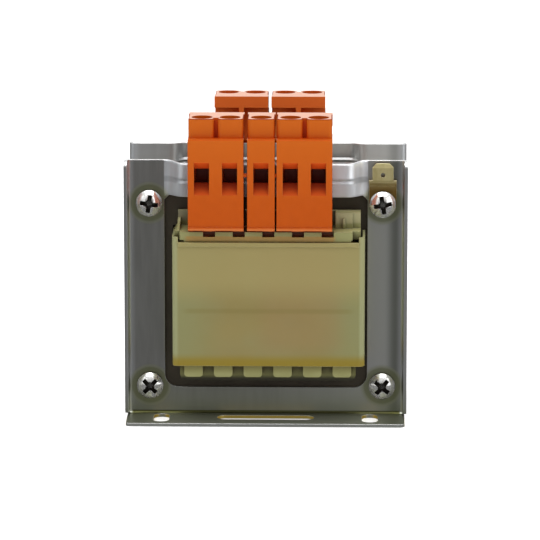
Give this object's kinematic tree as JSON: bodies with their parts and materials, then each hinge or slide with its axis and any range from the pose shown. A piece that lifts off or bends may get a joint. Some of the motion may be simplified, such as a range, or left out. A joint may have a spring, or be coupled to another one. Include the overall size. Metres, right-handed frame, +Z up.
{
  "type": "control transformer",
  "caption": "Open-frame control transformer with two footed sheet brackets, a covered coil, and screw terminal rows at front and rear.",
  "frame": {"origin": "centre of the footprint, on the undersides of the feet", "axes": "+Z up, +Y from the front terminal row to the rear one, +X to the right"},
  "size_m": [0.0848, 0.061, 0.0933],
  "materials": {
    "zinc_plate": "dull grey zinc-plated sheet",
    "core_steel": "varnished silicon-steel sheets",
    "natural_nylon": "natural nylon, slightly translucent",
    "cover_nylon": "translucent yellow-green sheet",
    "copper_wire": "enamelled copper wire",
    "insulating_film": "amber insulating film",
    "orange_plastic": "moulded orange terminal plastic",
    "tinned_brass": "tinned brass strip",
    "bright_zinc": "bright zinc-plated steel",
    "brass_tab": "plain brass",
    "clamp_steel": "zinc-plated clamp steel"
  },
  "bodies": {
    "frame": {"front_bracket": "zinc_plate", "rear_bracket": "zinc_plate", "e_laminations": "core_steel", "i_laminations": "core_steel", "coil_former": "natural_nylon", "primary_winding": "copper_wire", "winding_barrier": "insulating_film", "secondary_winding": "copper_wire", "outer_wrap": "insulating_film", "front_cover": "cover_nylon", "rear_cover": "cover_nylon", "front_left_terminal": "orange_plastic", "front_middle_terminal": "orange_plastic", "front_right_terminal": "orange_plastic", "rear_left_terminal": "orange_plastic", "rear_right_terminal": "orange_plastic", "contact_strips": "tinned_brass", "core_screws": "bright_zinc", "core_nuts": "bright_zinc", "core_washers": "bright_zinc", "earth_tab": "brass_tab"},
    "screw_1": {"clamp_screw_1": "clamp_steel"},
    "cage_1": {"clamp_cage_1": "clamp_steel"},
    "screw_2": {"clamp_screw_2": "clamp_steel"},
    "cage_2": {"clamp_cage_2": "clamp_steel"},
    "screw_3": {"clamp_screw_3": "clamp_steel"},
    "cage_3": {"clamp_cage_3": "clamp_steel"},
    "screw_4": {"clamp_screw_4": "clamp_steel"},
    "cage_4": {"clamp_cage_4": "clamp_steel"},
    "screw_5": {"clamp_screw_5": "clamp_steel"},
    "cage_5": {"clamp_cage_5": "clamp_steel"},
    "screw_6": {"clamp_screw_6": "clamp_steel"},
    "cage_6": {"clamp_cage_6": "clamp_steel"},
    "screw_7": {"clamp_screw_7": "clamp_steel"},
    "cage_7": {"clamp_cage_7": "clamp_steel"},
    "screw_8": {"clamp_screw_8": "clamp_steel"},
    "cage_8": {"clamp_cage_8": "clamp_steel"},
    "screw_9": {"clamp_screw_9": "clamp_steel"},
    "cage_9": {"clamp_cage_9": "clamp_steel"}
  },
  "joints": [
    {"name": "screw_turn_1", "type": "hinge", "parent": "frame", "child": "screw_1", "pos_m": [-0.01873, -0.02395, 0.086], "axis": [0, 0, -1], "range_deg": [0, 1500]},
    {"name": "cage_lift_1", "type": "slide", "parent": "frame", "child": "cage_1", "axis": [0, 0, 1], "range_m": [0, 0.0025]},
    {"name": "screw_turn_2", "type": "hinge", "parent": "frame", "child": "screw_2", "pos_m": [-0.01043, -0.02395, 0.086], "axis": [0, 0, -1], "range_deg": [0, 1500]},
    {"name": "cage_lift_2", "type": "slide", "parent": "frame", "child": "cage_2", "axis": [0, 0, 1], "range_m": [0, 0.0025]},
    {"name": "screw_turn_3", "type": "hinge", "parent": "frame", "child": "screw_3", "pos_m": [-0.00118, -0.02395, 0.086], "axis": [0, 0, -1], "range_deg": [0, 1500]},
    {"name": "cage_lift_3", "type": "slide", "parent": "frame", "child": "cage_3", "axis": [0, 0, 1], "range_m": [0, 0.0025]},
    {"name": "screw_turn_4", "type": "hinge", "parent": "frame", "child": "screw_4", "pos_m": [0.00753, -0.02395, 0.086], "axis": [0, 0, -1], "range_deg": [0, 1500]},
    {"name": "cage_lift_4", "type": "slide", "parent": "frame", "child": "cage_4", "axis": [0, 0, 1], "range_m": [0, 0.0025]},
    {"name": "screw_turn_5", "type": "hinge", "parent": "frame", "child": "screw_5", "pos_m": [0.01582, -0.02395, 0.086], "axis": [0, 0, -1], "range_deg": [0, 1500]},
    {"name": "cage_lift_5", "type": "slide", "parent": "frame", "child": "cage_5", "axis": [0, 0, 1], "range_m": [0, 0.0025]},
    {"name": "screw_turn_6", "type": "hinge", "parent": "frame", "child": "screw_6", "pos_m": [-0.0123, 0.02395, 0.086], "axis": [0, 0, -1], "range_deg": [0, 1500]},
    {"name": "cage_lift_6", "type": "slide", "parent": "frame", "child": "cage_6", "axis": [0, 0, 1], "range_m": [0, 0.0025]},
    {"name": "screw_turn_7", "type": "hinge", "parent": "frame", "child": "screw_7", "pos_m": [-0.004, 0.02395, 0.086], "axis": [0, 0, -1], "range_deg": [0, 1500]},
    {"name": "cage_lift_7", "type": "slide", "parent": "frame", "child": "cage_7", "axis": [0, 0, 1], "range_m": [0, 0.0025]},
    {"name": "screw_turn_8", "type": "hinge", "parent": "frame", "child": "screw_8", "pos_m": [0.0051, 0.02395, 0.086], "axis": [0, 0, -1], "range_deg": [0, 1500]},
    {"name": "cage_lift_8", "type": "slide", "parent": "frame", "child": "cage_8", "axis": [0, 0, 1], "range_m": [0, 0.0025]},
    {"name": "screw_turn_9", "type": "hinge", "parent": "frame", "child": "screw_9", "pos_m": [0.0134, 0.02395, 0.086], "axis": [0, 0, -1], "range_deg": [0, 1500]},
    {"name": "cage_lift_9", "type": "slide", "parent": "frame", "child": "cage_9", "axis": [0, 0, 1], "range_m": [0, 0.0025]}
  ],
  "couplings": [
    {"joint": "screw_turn_1", "follows": "cage_lift_1", "rad_per_m": 10472},
    {"joint": "screw_turn_2", "follows": "cage_lift_2", "rad_per_m": 10472},
    {"joint": "screw_turn_3", "follows": "cage_lift_3", "rad_per_m": 10472},
    {"joint": "screw_turn_4", "follows": "cage_lift_4", "rad_per_m": 10472},
    {"joint": "screw_turn_5", "follows": "cage_lift_5", "rad_per_m": 10472},
    {"joint": "screw_turn_6", "follows": "cage_lift_6", "rad_per_m": 10472},
    {"joint": "screw_turn_7", "follows": "cage_lift_7", "rad_per_m": 10472},
    {"joint": "screw_turn_8", "follows": "cage_lift_8", "rad_per_m": 10472},
    {"joint": "screw_turn_9", "follows": "cage_lift_9", "rad_per_m": 10472}
  ]
}
